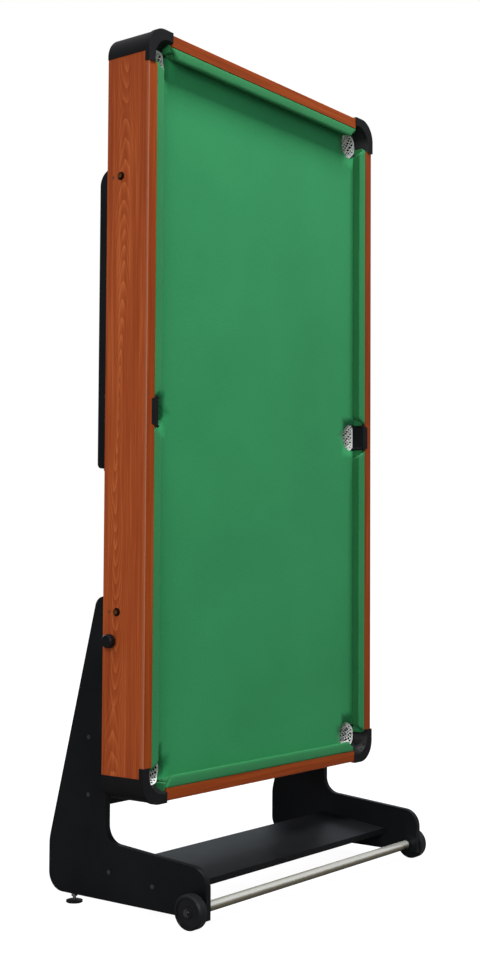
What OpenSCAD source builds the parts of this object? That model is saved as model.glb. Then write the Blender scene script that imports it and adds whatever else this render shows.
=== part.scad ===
// Folding pocket pool table, stored upright on its wheeled stand.
// Origin on the floor under the middle. +X right, +Y back, +Z up, millimetres.
// Inside table_frame(), X is across, Y is depth behind the rail tops and Z is
// the distance from the table's lower end.

/* [Table] */
// Length of the table over its wooden rails
table_length = 1830; // [1780:1:1860]
// Width of the table over its wooden rails
table_width = 980; // [974:1:990]
// Depth of the wooden frame, rail tops to back edge
table_depth = 131; // [128:1:133]
// Thickness of the apron boards
apron_thickness = 18; // [16:1:18]
// Thickness of the rail strips that top the aprons
strip_thickness = 6; // [5:0.5:7]
// Visible width of the rail strips
strip_width = 29; // [27:0.5:31]
// Depth of the playing cloth below the rail tops
bed_depth = 32; // [30:0.5:34]
// Thickness of the bed board
bed_thickness = 15; // [12:1:15]
// Thickness of the bed cloth
cloth_thickness = 0.8; // [0.5:0.1:1]
// Corner radius of the wooden frame under the caps
frame_corner_radius = 53; // [48:1:54]

/* [Cushions] */
// Distance from the frame's outer face to the cushion nose
nose_inset = 57; // [55:0.5:59]
// Distance from the frame's outer face to the cushion foot
foot_inset = 47; // [46:0.5:50]
// Width of the wooden liner behind each cushion
liner_width = 12; // [10:0.5:13]

/* [Pockets] */
// Radius of the corner pocket holes in the bed
corner_hole_radius = 38.5; // [37.5:0.5:38.5]
// Distance from the frame's outer faces to a corner pocket's centre
corner_hole_inset = 70; // [69.5:0.5:71]
// Radius of a corner pocket's throat at the cap's flange
throat_mouth_radius = 51; // [50:0.5:52]
// Radius of the side pocket holes in the bed
side_hole_radius = 37.5; // [37:0.5:38]
// Distance from the frame's outer face to a side pocket's centre
side_hole_inset = 60; // [59:0.5:61]
// Distance from the frame's outer face to a side pocket's back wall
side_wall_inset = 41.5; // [40:0.5:43]
// Wall thickness of the pocket mouldings
moulding_wall = 2.5; // [2:0.25:2.5]
// Outer radius of a net bag
bag_radius = 32.5; // [31:0.5:33]
// Depth of a net bag behind the bed board
bag_depth = 62; // [56:1:66]

/* [Corner caps] */
// Length of the plain band along each face
cap_band_length = 59; // [56:1:60]
// Length of the thicker collar along each face
cap_collar_length = 84; // [80:1:86]
// How far the collar stands proud of the wood
cap_collar_proud = 4; // [3:0.5:5]
// How far the band stands proud of the wood
cap_band_proud = 2; // [1.5:0.25:2.5]
// How far the collar reaches down the side
cap_collar_drop = 10; // [9:0.5:13]

/* [Pivots and end leg] */
// Depth of both pivots behind the rail tops
pivot_depth = 87; // [86:0.5:88]
// Distance of the stand pivot from the table's lower end
stand_pivot_s = 443; // [440:1:446]
// Distance of the leg pivot from the table's lower end
leg_pivot_s = 1482; // [1478:1:1484]
// Radius of the pivot bolt shanks
bolt_radius = 5; // [4.5:0.25:5]
// Radial clearance of a shank in the board that turns on it
bolt_clearance = 0.08; // [0.05:0.01:0.1]
// Thickness of the stand and leg boards
panel_thickness = 16; // [15:0.5:16]
// Depth of the board edges behind the rail tops
leg_back_depth = 172; // [168:1:174]

/* [Stand] */
// Height of the table's lower end over the floor
table_lift = 260; // [258:1:262]
// Height of the side panels' lower edge over the floor
panel_lift = 21; // [20:0.5:22]
// Diameter of the stretcher tube
tube_diameter = 24; // [22:0.5:25]
// Wall thickness of the stretcher tube
tube_wall = 1.5; // [1:0.25:2]
// Tilt of the shelf board, down toward the front, degrees
shelf_tilt = 5.9; // [5.5:0.1:6.3]
// Depth of the shelf board, front to back
shelf_depth = 211; // [200:1:214]

/* [Wheels and feet] */
// Diameter of the wheels
wheel_diameter = 80; // [79:0.5:80]
// Width of the wheels
wheel_width = 27; // [24:0.5:28]
// Diameter of the levelling foot pads
pad_diameter = 40; // [36:1:42]
// Thickness of the levelling foot pads
pad_thickness = 7; // [6:0.5:8]

/* [Lock knobs] */
// Diameter of the lock knobs
knob_diameter = 33; // [30:0.5:34]
// Depth of the lock knobs behind the rail tops
knob_depth = 99.6; // [98:0.2:101]
// Distance of the lock knobs from the table's lower end
knob_s = 375; // [370:1:380]

/* [Hidden] */
$fn = 72;
body_gap = 0.4;
half_w = table_width / 2;
inner_x = half_w - apron_thickness;
cloth_front = bed_depth;
board_front = bed_depth + cloth_thickness;
board_back = board_front + bed_thickness;
rim_y = -70;
mid_s = table_length / 2;
corner_x = half_w - corner_hole_inset;
corner_s = corner_hole_inset;
side_x = half_w - side_hole_inset;
bag_x = 453 - bag_radius;
bag_corner_s = corner_s + 4;
panel_out = inner_x - 1.5;
panel_in = panel_out - panel_thickness;
panel_front = table_depth + 3.5;
board_front_depth = 52;
wheel_y = -140;
wheel_s = wheel_diameter / 2 - table_lift;
panel_foot_s = panel_lift - table_lift;
panel_nose_y = -173.5;
panel_heel_y = 320;
cross_y = 183;
cross_low = -28;
cross_high = 171;
shelf_mid_y = 35;
shelf_mid_s = -180;
foot_y = 241;
foot_x = panel_out - panel_thickness / 2;
leg_top_s = leg_pivot_s + 31;
leg_foot_s = leg_pivot_s - (table_lift + stand_pivot_s);
glide_height = 6;
leg_end_s = leg_foot_s + glide_height;
leg_foot_front = 77;
brace_s = [650, 1640];
strip_end = cap_collar_length;
wood_cherry = [0.55, 0.27, 0.15];
strip_cherry = [0.56, 0.24, 0.10];
raw_board = [0.72, 0.62, 0.47];
cloth_green = [0.16, 0.50, 0.31];
black_plastic = [0.13, 0.13, 0.15];
black_board = [0.07, 0.07, 0.08];
steel = [0.72, 0.72, 0.73];
net_white = [0.90, 0.90, 0.87];
rubber_black = [0.09, 0.09, 0.10];

// ---- frames of reference and small shapes ----

// Places table coordinates on the stand at rest.
module table_frame() { translate([0, rim_y, table_lift]) children(); }

// Draws the child on the right and its mirror image on the left.
module both_sides() {
  children();
  mirror([1, 0, 0]) children();
}

// Chooses the left or the right copy.
module on_side(left) { mirror([left ? 1 : 0, 0, 0]) children(); }

// Chooses the lower or the upper end.
module on_end(upper) {
  translate([0, 0, upper ? table_length : 0]) mirror([0, 0, upper ? 1 : 0]) children();
}

// A flat outline in (Y, Z), given thickness along X from x0.
module slab_x(x0, t) {
  translate([x0, 0, 0]) rotate([90, 0, 90]) linear_extrude(t) children();
}

// A flat outline in (X, Z), given thickness along Y from y0 backward.
module slab_y(y0, t) {
  translate([0, y0 + t, 0]) rotate([90, 0, 0]) linear_extrude(t) children();
}

// A box from one corner to the opposite one.
module box(a, b) { translate(a) cube([b[0] - a[0], b[1] - a[1], b[2] - a[2]]); }

// A round bar along X between two positions.
module bar_x(x0, x1, y, z, r) {
  translate([x0, y, z]) rotate([0, 90, 0]) cylinder(h = x1 - x0, r = r);
}

function unit(v) = v / norm(v);

// The material between a corner p and the arc of radius r that rounds it. It
// runs past both edges, so that no film is left along them.
module corner_sliver(p, a, b, r) {
  over = 0.5;
  u = unit(a - p);
  v = unit(b - p);
  half = acos(u * v) / 2;
  t = r / tan(half);
  c = p + unit(u + v) * (r / sin(half));
  past_u = unit(u * (u * v) - v) * over;
  past_v = unit(v * (u * v) - u) * over;
  difference() {
    polygon([p + u * t, p + u * t + past_u, p - unit(u + v) * (over / sin(half)),
      p + v * t + past_v, p + v * t]);
    translate(c) circle(r);
  }
}

// The polygon q with each corner rounded by the radius in radii; a negative
// radius fills an inner corner.
module rounded(q, radii) {
  n = len(q);
  union() {
    difference() {
      polygon(q);
      for (i = [0 : n - 1])
        if (radii[i] > 0)
          corner_sliver(q[i], q[(i + n - 1) % n], q[(i + 1) % n], radii[i]);
    }
    for (i = [0 : n - 1])
      if (radii[i] < 0)
        corner_sliver(q[i], q[(i + n - 1) % n], q[(i + 1) % n], -radii[i]);
  }
}

// The frame's outline seen from the front, grown by g.
module frame_outline(g = 0) {
  r = frame_corner_radius + g;
  w = half_w + g;
  rounded([[-w, -g], [w, -g], [w, table_length + g], [-w, table_length + g]], [r, r, r, r]);
}

// ---- bed ----

// A round hole that opens along +X into a slot of the same width.
module pocket_notch(r) {
  circle(r);
  translate([0, -r]) square([120, 2 * r]);
}

module bed_outline() {
  difference() {
    translate([-inner_x, apron_thickness])
      square([2 * inner_x, table_length - 2 * apron_thickness]);
    for (sx = [0, 1]) mirror([sx, 0]) {
      translate([corner_x, corner_s]) rotate(-45) pocket_notch(corner_hole_radius);
      translate([corner_x, table_length - corner_s]) rotate(45)
        pocket_notch(corner_hole_radius);
      translate([side_x, mid_s]) pocket_notch(side_hole_radius);
    }
  }
}

module bed_board() {
  color(raw_board) table_frame() slab_y(board_front, bed_thickness) bed_outline();
}

module bed_cloth() {
  color(cloth_green) table_frame() slab_y(cloth_front, cloth_thickness) bed_outline();
}

// ---- aprons and rail strips ----

module side_apron(left) {
  color(wood_cherry) table_frame() on_side(left) difference() {
    intersection() {
      box([inner_x, strip_thickness, 0], [half_w, table_depth, table_length]);
      slab_y(0, table_depth) frame_outline();
    }
    for (s = [stand_pivot_s, leg_pivot_s]) {
      bar_x(inner_x - 1, half_w + 1, pivot_depth, s, bolt_radius);
      bar_x(inner_x - 1, half_w + 1, pivot_depth + 25, s, 2);
    }
    bar_x(inner_x - 1, half_w + 1, knob_depth, knob_s, 7);
  }
}

module end_apron(upper) {
  color(wood_cherry) table_frame() on_end(upper) intersection() {
    box([-inner_x, strip_thickness, 0], [inner_x, table_depth, apron_thickness]);
    slab_y(0, table_depth) frame_outline();
  }
}

// The long rail strips, notched for the side pockets' plates.
module rail_strips_side() {
  c = 1.5;
  color(strip_cherry) table_frame() both_sides() difference() {
    translate([0, 0, strip_end]) linear_extrude(table_length - 2 * strip_end)
      polygon([[half_w - strip_width, 0], [half_w - c, 0], [half_w, c],
        [half_w, strip_thickness], [half_w - strip_width, strip_thickness]]);
    slab_y(-1, strip_thickness + 2) side_plate_outline(0.3);
  }
}

module rail_strips_end() {
  c = 1.5;
  color(strip_cherry) table_frame() for (u = [false, true]) on_end(u)
    slab_x(strip_end - half_w, table_width - 2 * strip_end)
      polygon([[0, c], [c, 0], [strip_thickness, 0], [strip_thickness, strip_width],
        [0, strip_width]]);
}

// ---- cushions ----

// Cross-section of a cushion, measured inward from the frame's outer face and
// back from the rail tops.
module cushion_profile() {
  polygon([[strip_width, 0.5], [nose_inset - 3, 0.5], [nose_inset - 0.8, 1.8],
    [nose_inset, 4], [nose_inset - 0.6, 6.5], [foot_inset, bed_depth],
    [strip_width + liner_width, bed_depth], [strip_width + liner_width, strip_thickness],
    [strip_width, strip_thickness]]);
}

// Cuts a bar's end at z so that the nose stops slope beyond the back edge.
module mitre(z, slope, up) {
  back = strip_width;
  run = nose_inset - back;
  reach = 60;
  x0 = half_w - back + 5;
  x1 = half_w - nose_inset - 5;
  zb = z - up * slope * 5 / run;
  zn = z + up * slope * (run + 5) / run;
  slab_y(-5, bed_depth + 10) polygon([[x0, zb], [x1, zn],
    [x1, zn - up * reach * 2], [x0, zb - up * reach * 2]]);
}

long_back = cap_collar_length - 8;
long_slope = 16;
end_back = cap_collar_length - 4;
end_slope = 24;
side_back = 34.5;
side_slope = 16;

// One of the four long cushions, drawn on the right.
module side_cushion(left, upper) {
  color(cloth_green) table_frame() on_end(upper) on_side(left) difference() {
    translate([half_w, 0, 0]) mirror([1, 0, 0]) linear_extrude(mid_s) cushion_profile();
    mitre(long_back, long_slope, 1);
    mitre(mid_s - side_back, side_slope, -1);
  }
}

// One of the two end cushions, turned from the long cushion's section.
module end_cushion(upper) {
  run = nose_inset - strip_width;
  a = half_w - end_back;
  n = a - end_slope;
  big = 60;
  color(cloth_green) table_frame() on_end(upper) difference() {
    slab_x(-half_w, table_width) mirror([0, 0]) rotate(90) mirror([0, 1])
      cushion_profile();
    both_sides() slab_y(-5, bed_depth + 10) polygon([
      [a + end_slope * 5 / run, strip_width - 5],
      [n - end_slope * 5 / run, nose_inset + 5],
      [half_w + big, nose_inset + 5], [half_w + big, strip_width - 5]]);
  }
}

// The wooden liners that the six cushions are glued to.
module cushion_liners() {
  back = apron_thickness;
  face = strip_width + liner_width;
  y0 = strip_thickness;
  long0 = long_back + 1;
  end0 = end_back + 1;
  long1 = mid_s - side_back - 1;
  color(raw_board) table_frame() {
    both_sides() for (u = [false, true]) on_end(u)
      box([half_w - face, y0, long0], [half_w - back, bed_depth, long1]);
    for (u = [false, true]) on_end(u)
      box([-half_w + end0, y0, back], [half_w - end0, bed_depth, face]);
  }
}

// ---- pocket mouldings ----

cap_front = 2.5;

// Inner radius of a corner throat at depth d: it narrows to the hole in the bed.
function throat_radius(d) = throat_mouth_radius
  - (throat_mouth_radius - corner_hole_radius + moulding_wall)
  * (d + cap_front) / (cap_front + bed_depth);

// A corner throat as a solid, grown by g, from depth d0 to depth d1.
module throat(g, d0, d1) {
  low = throat_radius(bed_depth) + g;
  translate([corner_x, 0, corner_s]) rotate([-90, 0, 0]) {
    translate([0, 0, d0])
      cylinder(h = bed_depth - d0, r1 = throat_radius(d0) + g, r2 = low);
    translate([0, 0, bed_depth - 1]) cylinder(h = d1 - bed_depth + 1, r = low);
  }
}

// The cap's L outline seen from the front, drawn at the lower right corner,
// out to g beyond the wood, with the L's inner corner filled.
module cap_outline(g, long) {
  fill = 11;
  difference() {
    intersection() {
      frame_outline(g);
      translate([half_w - long, -g - 1]) square([long + g + 1, long + g + 1]);
    }
    difference() {
      translate([half_w - long - 1, strip_width])
        square([long + 1 - strip_width, long + 1 - strip_width]);
      translate([half_w - strip_width - fill, strip_width - 1]) square([fill + 1, fill + 1]);
    }
  }
}

module corner_cap(left, upper) {
  long = cap_collar_length;
  wall_end = long_back - 1;
  color(black_plastic) table_frame() on_end(upper) on_side(left) difference() {
    union() {
      slab_y(-cap_front, cap_front + strip_thickness) cap_outline(cap_collar_proud, long);
      slab_y(-cap_front, cap_front + cap_collar_drop) difference() {
        cap_outline(cap_collar_proud, long);
        frame_outline(0);
      }
      slab_y(-cap_front, cap_front + table_depth) difference() {
        cap_outline(cap_band_proud, cap_band_length);
        frame_outline(0);
      }
      intersection() {
        throat(moulding_wall, strip_thickness - 1, board_back);
        box([half_w - wall_end, 0, 0], [half_w, board_back, wall_end]);
      }
      sleeve();
    }
    throat(0, -cap_front - 1, board_back + 1);
  }
}

// Half of a ring that lines the outer side of a corner hole through the bed.
module sleeve() {
  top = bed_depth + 0.3;
  translate([corner_x, top, corner_s]) rotate([-90, 0, 0]) difference() {
    cylinder(h = board_back - top, r = corner_hole_radius);
    translate([0, 0, -1])
      cylinder(h = board_back - top + 2, r = corner_hole_radius - moulding_wall);
    rotate(45) translate([-100, -100, -1]) cube([100, 200, board_back - top + 2]);
  }
}

// A side pocket's plate seen from the front, grown by g. It widens inward.
module side_plate_outline(g = 0) {
  outer = half_w - 19 + g;
  inner = half_w - side_wall_inset - g;
  polygon([[inner, mid_s - 38 - g], [outer, mid_s - 29 - g], [outer, mid_s + 29 + g],
    [inner, mid_s + 38 + g]]);
}

// The moulding of a side pocket: a plate let into the rail and a flat wall
// behind the hole, with its ends turned in.
module side_pocket(left) {
  x = half_w - side_wall_inset;
  w = moulding_wall;
  half = 30.5;
  color(black_plastic) table_frame() on_side(left) union() {
    slab_y(-0.6, 3.6) side_plate_outline();
    box([x, 2, mid_s - half], [x + w, board_back, mid_s + half]);
    for (k = [-1, 1]) slab_y(2, board_back - 2)
      polygon([[x + w, mid_s + k * half], [x - 7, mid_s + k * (half + 4)],
        [x - 7.8, mid_s + k * (half + 1.8)], [x, mid_s + k * (half - w)]]);
  }
}

// ---- nets ----

// A net: a flat ring stapled round the hole and a bag beside its centre.
module net(left, upper, hole_x, hole_s, hole_r, sack_s) {
  wall = 1.6;
  deep = bag_depth - bag_radius;
  color(net_white) table_frame() on_end(upper) on_side(left) difference() {
    union() {
      translate([hole_x, board_back, hole_s]) rotate([-90, 0, 0]) cylinder(h = 2, r = hole_r + 3.5);
      translate([bag_x, board_back, sack_s]) rotate([-90, 0, 0]) {
        cylinder(h = deep, r = bag_radius);
        translate([0, 0, deep]) sphere(bag_radius);
      }
    }
    intersection() {
      translate([hole_x, board_back - 1, hole_s]) rotate([-90, 0, 0])
        cylinder(h = 4, r = hole_r - moulding_wall);
      translate([bag_x, board_back - 1, sack_s]) rotate([-90, 0, 0])
        cylinder(h = 4, r = bag_radius - wall);
    }
    translate([bag_x, board_back + 2, sack_s]) rotate([-90, 0, 0]) {
      cylinder(h = deep - 2, r = bag_radius - wall);
      translate([0, 0, deep - 2]) sphere(bag_radius - wall);
    }
    box([0, 0, 0], [bag_x + 200, board_back, table_length]);
  }
}

module corner_net(left, upper) {
  net(left, upper, corner_x, corner_s, corner_hole_radius, bag_corner_s);
}

module side_net(left) {
  net(left, false, side_x, mid_s, side_hole_radius, mid_s);
}

// ---- inside the frame ----

module corner_blocks() {
  color(raw_board) table_frame() for (u = [false, true]) on_end(u) both_sides()
    box([inner_x - 20, board_back, apron_thickness],
      [inner_x, table_depth - 12, apron_thickness + 20]);
}

// Full-width braces clear of the stand's arms and of the folded leg.
module bed_braces() {
  color(raw_board) table_frame() for (s = brace_s)
    box([-inner_x, board_back, s - 9], [inner_x, board_back + 62, s + 9]);
}

// Blocks that the folded leg rests against.
module leg_stops() {
  s = leg_end_s + 20;
  front = leg_front(s + 15) - body_gap;
  color(raw_board) table_frame() both_sides()
    box([panel_in - 4, board_back, s - 15], [inner_x, front - 2, s + 15]);
}

// Thin steel plates between the aprons and the boards that turn against them.
module pivot_plates() {
  color(steel) table_frame() both_sides() for (s = [stand_pivot_s, leg_pivot_s])
    difference() {
      box([inner_x - 1, pivot_depth - 25, s - 30], [inner_x, pivot_depth + 37, s + 30]);
      bar_x(inner_x - 2, inner_x + 1, pivot_depth, s, bolt_radius);
      bar_x(inner_x - 2, inner_x + 1, pivot_depth + 25, s, 2);
    }
}

module plate_screws() {
  color(steel) table_frame() both_sides() for (s = [stand_pivot_s, leg_pivot_s])
    union() {
      bar_x(inner_x - 1, half_w, pivot_depth + 25, s, 2);
      bar_x(half_w, half_w + 1.2, pivot_depth + 25, s, 3.5);
    }
}

// A pivot bolt: domed head with a washer outside the apron, shank through the
// board that turns on it.
module pivot_bolt(s) {
  bar_x(half_w, half_w + 1.5, pivot_depth, s, 10);
  bar_x(half_w + 1.5, half_w + 5, pivot_depth, s, 7);
  bar_x(panel_in - 12, half_w + 1.5, pivot_depth, s, bolt_radius);
}

module pivot_bolts() {
  color(steel) table_frame() both_sides() for (s = [stand_pivot_s, leg_pivot_s])
    difference() {
      union() pivot_bolt(s);
      bar_x(half_w + 3, half_w + 6, pivot_depth, s, 3);
    }
}

// Lock nuts on the inner ends of the pivot bolts.
module pivot_nuts() {
  color(steel) table_frame() both_sides() for (s = [stand_pivot_s, leg_pivot_s])
    difference() {
      union() {
        bar_x(panel_in - 2 - body_gap, panel_in - body_gap, pivot_depth, s, 11);
        translate([panel_in - 10 - body_gap, pivot_depth, s]) rotate([0, 90, 0])
          cylinder(h = 8, r = 9, $fn = 6);
      }
      bar_x(panel_in - 20, panel_in + 1, pivot_depth, s, bolt_radius);
    }
}

// Threaded inserts in the aprons for the lock studs.
module lock_inserts() {
  color(steel) table_frame() both_sides() difference() {
    bar_x(inner_x, half_w + 0.6, knob_depth, knob_s, 7);
    bar_x(inner_x - 1, half_w + 1, knob_depth, knob_s, 4.08);
  }
}

// ---- end leg, folded ----

// Front edge of the folded leg at distance s.
function leg_front(s) = board_front_depth
  + (leg_foot_front - board_front_depth) * (leg_top_s - s) / (leg_top_s - leg_end_s);

module leg_plank(left) {
  color(black_board) table_frame() on_side(left) difference() {
    slab_x(panel_in, panel_thickness) rounded([[board_front_depth, leg_top_s],
      [leg_back_depth, leg_top_s], [leg_back_depth, leg_end_s],
      [leg_foot_front, leg_end_s]], [28, 40, 12, 12]);
    bar_x(panel_in - 1, panel_out + 1, pivot_depth, leg_pivot_s, bolt_radius + bolt_clearance);
    for (s = leg_screw_s)
      bar_x(panel_in - 1, panel_out + 1, leg_board_y + 8, s, 3);
  }
}

leg_board_y = 140;
leg_board_low = leg_end_s + 90;
leg_board_high = leg_board_low + 110;
leg_screw_s = [leg_board_low + 25, leg_board_high - 25];

module leg_cross_board() {
  color(black_board) table_frame() difference() {
    box([-panel_in, leg_board_y, leg_board_low], [panel_in, leg_board_y + 16, leg_board_high]);
    for (s = leg_screw_s) both_sides()
      bar_x(panel_in - 30, panel_in + 1, leg_board_y + 8, s, 3);
  }
}

module leg_screws() {
  color(steel) table_frame() both_sides() for (s = leg_screw_s) {
    bar_x(panel_in - 30, panel_out + 0.2, leg_board_y + 8, s, 3);
    bar_x(panel_out, panel_out + 0.6, leg_board_y + 8, s, 5);
  }
}

module leg_glides() {
  y = (leg_foot_front + leg_back_depth) / 2;
  color(rubber_black) table_frame() both_sides()
    box([panel_in + 1.5, y - 28, leg_foot_s], [panel_out - 1.5, y + 28, leg_end_s]);
}

// ---- stand ----

module stand_side(left) {
  slope = 0.254;
  knee = -116;
  top = stand_pivot_s + 35;
  shelf_dy = shelf_screw / 2 * cos(shelf_tilt);
  q = [[board_front_depth, top], [leg_back_depth - 3, top], [panel_heel_y, knee],
    [panel_heel_y, panel_foot_s], [panel_nose_y, panel_foot_s], [panel_nose_y, -127],
    [panel_front, -102], [panel_front, 110], [board_front_depth, 290]];
  color(black_board) table_frame() on_side(left) difference() {
    slab_x(panel_in, panel_thickness) rounded(q, [34, 28, 110, 45, 0, 45, -42, -60, 60]);
    bar_x(panel_in - 1, panel_out + 1, pivot_depth, stand_pivot_s,
      bolt_radius + bolt_clearance);
    bar_x(panel_in - 1, panel_out + 1, wheel_y, wheel_s, 4);
    for (s = cross_screw_s) bar_x(panel_in - 1, panel_out + 1, cross_y + 8, s, 3);
    for (k = [-1, 1]) bar_x(panel_in - 1, panel_out + 1, shelf_hole(k)[0], shelf_hole(k)[1], 3);
    translate([foot_x, foot_y, panel_foot_s - 1]) cylinder(h = 41, r = 5.5);
  }
}

cross_screw_s = [3.3, 140];
shelf_screw = 137;
shelf_screw_mid = 19;
// Centre of the shelf's front (k = -1) or back (k = 1) screw.
function shelf_hole(k) = let (u = shelf_screw_mid + k * shelf_screw / 2)
  [shelf_mid_y + u * cos(shelf_tilt), shelf_mid_s + u * sin(shelf_tilt)];

module stand_cross_board() {
  color(black_board) table_frame() difference() {
    box([-panel_in, cross_y, cross_low], [panel_in, cross_y + 16, cross_high]);
    for (s = cross_screw_s) both_sides()
      bar_x(panel_in - 30, panel_in + 1, cross_y + 8, s, 3);
  }
}

module shelf_board() {
  color(black_board) table_frame() difference() {
    translate([0, shelf_mid_y, shelf_mid_s]) rotate([shelf_tilt, 0, 0])
      box([-panel_in, -shelf_depth / 2, -8], [panel_in, shelf_depth / 2, 8]);
    for (k = [-1, 1]) both_sides()
      bar_x(panel_in - 30, panel_in + 1, shelf_hole(k)[0], shelf_hole(k)[1], 3);
  }
}

module stretcher_tube() {
  r = tube_diameter / 2;
  color(steel) table_frame() difference() {
    bar_x(-panel_in + 5, panel_in - 5, wheel_y, wheel_s, r);
    bar_x(-panel_in, panel_in, wheel_y, wheel_s, r - tube_wall);
  }
}

// Black plugs that close the tube and seat it on the panels.
module tube_ferrules() {
  r = tube_diameter / 2;
  color(black_plastic) table_frame() both_sides() difference() {
    union() {
      bar_x(panel_in - 5, panel_in, wheel_y, wheel_s, r + 2.5);
      bar_x(panel_in - 35, panel_in - 5, wheel_y, wheel_s, r - tube_wall);
    }
    bar_x(panel_in - 36, panel_in + 1, wheel_y, wheel_s, 4);
  }
}

module stand_screws() {
  at = [[cross_y + 8, cross_screw_s[0]], [cross_y + 8, cross_screw_s[1]],
    shelf_hole(-1), shelf_hole(1)];
  color(steel) table_frame() both_sides() for (p = at) {
    bar_x(panel_in - 30, panel_out + 0.2, p[0], p[1], 3);
    bar_x(panel_out, panel_out + 1, p[0], p[1], 5.5);
  }
}

// Pads on the panels' front edges that the upright table leans on.
module stop_pads() {
  color(rubber_black) table_frame() both_sides()
    box([panel_in + 2, table_depth + body_gap, 2], [panel_out - 2, panel_front, 16]);
}

module foot_inserts() {
  color(steel) table_frame() both_sides() translate([foot_x, foot_y, panel_foot_s])
    difference() {
      cylinder(h = 40, r = 5.5);
      translate([0, 0, -1]) cylinder(h = 42, r = 4.08);
    }
}

// Axle bolts that carry the wheels and end in the tube's plugs.
module wheel_bolts() {
  x1 = panel_out + body_gap + wheel_width + 1;
  color(steel) table_frame() both_sides() union() {
    bar_x(panel_in - 30, x1, wheel_y, wheel_s, 4);
    bar_x(x1, x1 + 1.2, wheel_y, wheel_s, 9);
    bar_x(x1, x1 + 5, wheel_y, wheel_s, 6);
  }
}

// ---- wheels, feet and locks ----

module wheel(left) {
  x0 = panel_out + 0.6;
  x1 = x0 + wheel_width;
  r = wheel_diameter / 2;
  color(rubber_black) table_frame() on_side(left)
    translate([x0, wheel_y, wheel_s]) rotate([0, 90, 0]) rotate_extrude()
      polygon([[4.08, 0], [r - 3, 0], [r, 3], [r, wheel_width - 4], [r - 4, wheel_width],
        [r - 8, wheel_width], [r - 9, wheel_width - 3], [14, wheel_width - 3],
        [13, wheel_width], [4.08, wheel_width]]);
}

// The pad that a levelling foot's stem turns in.
module foot_pad(left) {
  r = pad_diameter / 2;
  color(black_plastic) on_side(left) translate([foot_x, rim_y + foot_y, 0])
    rotate_extrude() polygon([[0, 0], [r - 1, 0], [r, 1], [r, pad_thickness - 2],
      [r - 6, pad_thickness], [4.08, pad_thickness], [4.08, 3], [0, 3]]);
}

// The threaded stem, with a hexagonal collar that meets the panel's edge when
// it is screwed right in.
module foot_stem(left) {
  color(steel) on_side(left) translate([foot_x, rim_y + foot_y, 0]) union() {
    translate([0, 0, 3 + body_gap]) cylinder(h = panel_lift + 30, r = 4);
    translate([0, 0, panel_lift - body_gap - 6]) cylinder(h = 6, r = 7.5, $fn = 6);
  }
}

// The threaded stud whose tip clamps the stand's arm.
module lock_stud(left) {
  color(steel) table_frame() on_side(left)
    bar_x(panel_out + body_gap, half_w + 14, knob_depth, knob_s, 4);
}

// The knob that turns the stud.
module lock_knob(left) {
  r = knob_diameter / 2;
  color(black_plastic) table_frame() on_side(left)
    translate([half_w + 1.2, knob_depth, knob_s]) rotate([0, 90, 0]) difference() {
      rotate_extrude() polygon([[0, 0], [9, 0], [9, 5], [r - 2, 5], [r, 8], [r, 20],
        [r - 3, 23], [0, 23]]);
      translate([0, 0, -1]) cylinder(h = 14.2, r = 4.08);
      for (a = [0 : 30 : 330]) rotate(a) translate([r + 1.2, 0, 4])
        cylinder(h = 20, r = 2.4);
    }
}

bed_board();
bed_cloth();
side_apron(true);  // side_apron_left
side_apron(false);  // side_apron_right
end_apron(false);  // end_apron_lower
end_apron(true);  // end_apron_upper
rail_strips_side();
rail_strips_end();
side_cushion(true, false);  // cushion_left_lower
side_cushion(true, true);  // cushion_left_upper
side_cushion(false, false);  // cushion_right_lower
side_cushion(false, true);  // cushion_right_upper
end_cushion(false);  // cushion_lower
end_cushion(true);  // cushion_upper
cushion_liners();
corner_cap(true, false);  // corner_cap_lower_left
corner_cap(false, false);  // corner_cap_lower_right
corner_cap(true, true);  // corner_cap_upper_left
corner_cap(false, true);  // corner_cap_upper_right
side_pocket(true);  // side_pocket_left
side_pocket(false);  // side_pocket_right
corner_net(true, false);  // net_lower_left
corner_net(false, false);  // net_lower_right
side_net(true);  // net_side_left
side_net(false);  // net_side_right
corner_net(true, true);  // net_upper_left
corner_net(false, true);  // net_upper_right
corner_blocks();
bed_braces();
leg_stops();
pivot_plates();
plate_screws();
pivot_bolts();
pivot_nuts();
lock_inserts();
leg_plank(true);  // leg_plank_left
leg_plank(false);  // leg_plank_right
leg_cross_board();
leg_glides();
leg_screws();
stand_side(true);  // stand_side_left
stand_side(false);  // stand_side_right
stand_cross_board();
shelf_board();
stretcher_tube();
tube_ferrules();
stand_screws();
stop_pads();
foot_inserts();
wheel_bolts();
wheel(true);  // wheel_left
wheel(false);  // wheel_right
foot_pad(true);  // foot_pad_left
foot_pad(false);  // foot_pad_right
foot_stem(true);  // foot_stem_left
foot_stem(false);  // foot_stem_right
lock_stud(true);  // lock_stud_left
lock_stud(false);  // lock_stud_right
lock_knob(true);  // lock_knob_left
lock_knob(false);  // lock_knob_right
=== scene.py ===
"""Looks for the folding pool table: camera, light, materials, cloth, cushions, nets and trim."""

import math
import random

import bmesh
import bpy
from mathutils import Matrix, Vector
from mathutils.geometry import delaunay_2d_cdt


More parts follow.
